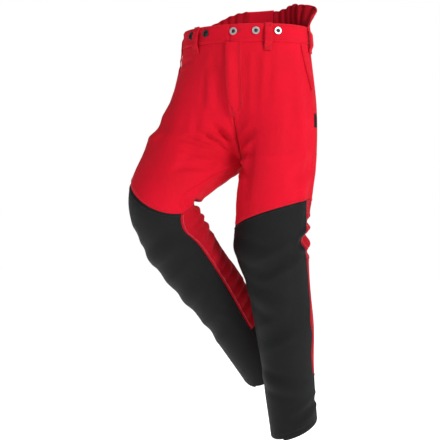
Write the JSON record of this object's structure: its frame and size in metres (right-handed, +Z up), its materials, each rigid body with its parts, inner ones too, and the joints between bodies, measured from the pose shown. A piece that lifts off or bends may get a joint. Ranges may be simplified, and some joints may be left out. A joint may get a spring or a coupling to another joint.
{
  "type": "protective forestry trousers",
  "caption": "Work trousers worn with legs crossed: raised gathered back, ring buttons, belt loops, zip fly, padded dark lower fronts and light upper cloth.",
  "frame": {"origin": "middle of the waist, level with the top edge of the waistband at the front", "axes": "+Z up, front of the wearer -Y, wearer's left +X"},
  "size_m": [0.4839, 0.397, 1.1372],
  "materials": {
    "red_cloth": "woven twill, matt",
    "dark_red_cloth": "woven stretch cloth, matt",
    "black_cloth": "abrasion-resistant weave, matt",
    "saw_padding": "soft layered fibre",
    "lining": "thin lining",
    "dark_metal": "dark, satin",
    "bright_metal": "satin"
  },
  "bodies": {
    "pelvis": {"waistband_left": "red_cloth", "back_elastic_left": "dark_red_cloth", "front_hip_left": "red_cloth", "seat_left": "red_cloth", "hip_fold_front_left": "red_cloth", "hip_fold_back_left": "red_cloth", "waistband_right": "red_cloth", "back_elastic_right": "dark_red_cloth", "front_hip_right": "red_cloth", "seat_right": "red_cloth", "hip_fold_front_right": "red_cloth", "hip_fold_back_right": "red_cloth", "raised_back_centre": "red_cloth", "waist_button": "bright_metal", "brace_button_left_inner": "bright_metal", "brace_button_left_outer": "bright_metal", "brace_button_right_inner": "dark_metal", "brace_button_right_outer": "dark_metal", "brace_button_back_left": "dark_metal", "brace_button_back_right": "dark_metal", "belt_loop_front_left": "red_cloth", "belt_loop_side_left": "red_cloth", "belt_loop_back_left": "red_cloth", "belt_loop_front_right": "red_cloth", "belt_loop_side_right": "red_cloth", "belt_loop_back_right": "red_cloth", "belt_loop_centre_back": "red_cloth", "fly_placket": "red_cloth", "fly_shield": "lining", "zip_tape_left": "black_cloth", "zip_tape_right": "black_cloth", "pocket_bag_left": "lining", "pocket_edge_left": "dark_red_cloth", "pocket_bag_right": "lining", "pocket_edge_right": "dark_red_cloth", "back_pocket": "red_cloth", "side_tab": "black_cloth"},
    "thigh_left_body": {"thigh_front_left": "red_cloth", "thigh_back_left": "dark_red_cloth", "knee_front_left": "black_cloth", "knee_back_left": "dark_red_cloth", "thigh_pad_left": "saw_padding", "knee_pad_left": "saw_padding"},
    "thigh_right_body": {"thigh_front_right": "red_cloth", "thigh_back_right": "dark_red_cloth", "knee_front_right": "black_cloth", "knee_back_right": "dark_red_cloth", "thigh_pad_right": "saw_padding", "knee_pad_right": "saw_padding"},
    "shin_left_body": {"shin_front_left": "black_cloth", "calf_back_left": "dark_red_cloth", "cuff_back_left": "black_cloth", "shin_pad_left": "saw_padding"},
    "shin_right_body": {"shin_front_right": "black_cloth", "calf_back_right": "dark_red_cloth", "cuff_back_right": "black_cloth", "shin_pad_right": "saw_padding"},
    "zip_slider_body": {"zip_slider": "dark_metal"},
    "zip_pull_body": {"zip_pull": "dark_metal"}
  },
  "joints": [
    {"name": "hip_left", "type": "hinge", "parent": "pelvis", "child": "thigh_left_body", "pos_m": [0.092, 0, -0.24], "axis": [-1, 0, 0], "range_deg": [0, 50], "deforming": ["hip_fold_front_left", "hip_fold_back_left"]},
    {"name": "knee_left", "type": "hinge", "parent": "thigh_left_body", "child": "shin_left_body", "pos_m": [0.0802, -0.0266, -0.4983], "axis": [1, 0, 0], "range_deg": [0, 60], "deforming": ["knee_front_left", "knee_back_left", "knee_pad_left"]},
    {"name": "hip_right", "type": "hinge", "parent": "pelvis", "child": "thigh_right_body", "pos_m": [-0.092, 0, -0.24], "axis": [0, 1, 0], "range_deg": [0, 25], "deforming": ["hip_fold_front_right", "hip_fold_back_right"]},
    {"name": "knee_right", "type": "hinge", "parent": "thigh_right_body", "child": "shin_right_body", "pos_m": [-0.1925, -0.1065, -0.4381], "axis": [0.8132, -0.582, 0], "range_deg": [-50, 18], "deforming": ["knee_front_right", "knee_back_right", "knee_pad_right"]},
    {"name": "zip_slide", "type": "slide", "parent": "pelvis", "child": "zip_slider_body", "axis": [0, 0.1383, -0.9904], "range_m": [0, 0.14]},
    {"name": "zip_pull_swing", "type": "hinge", "parent": "zip_slider_body", "child": "zip_pull_body", "pos_m": [0, -0.11609, -0.05394], "axis": [-1, 0, 0], "range_deg": [0, 10]}
  ],
  "couplings": [
    {"joint": "knee_left", "follows": "hip_left", "ratio": 1.2}
  ]
}
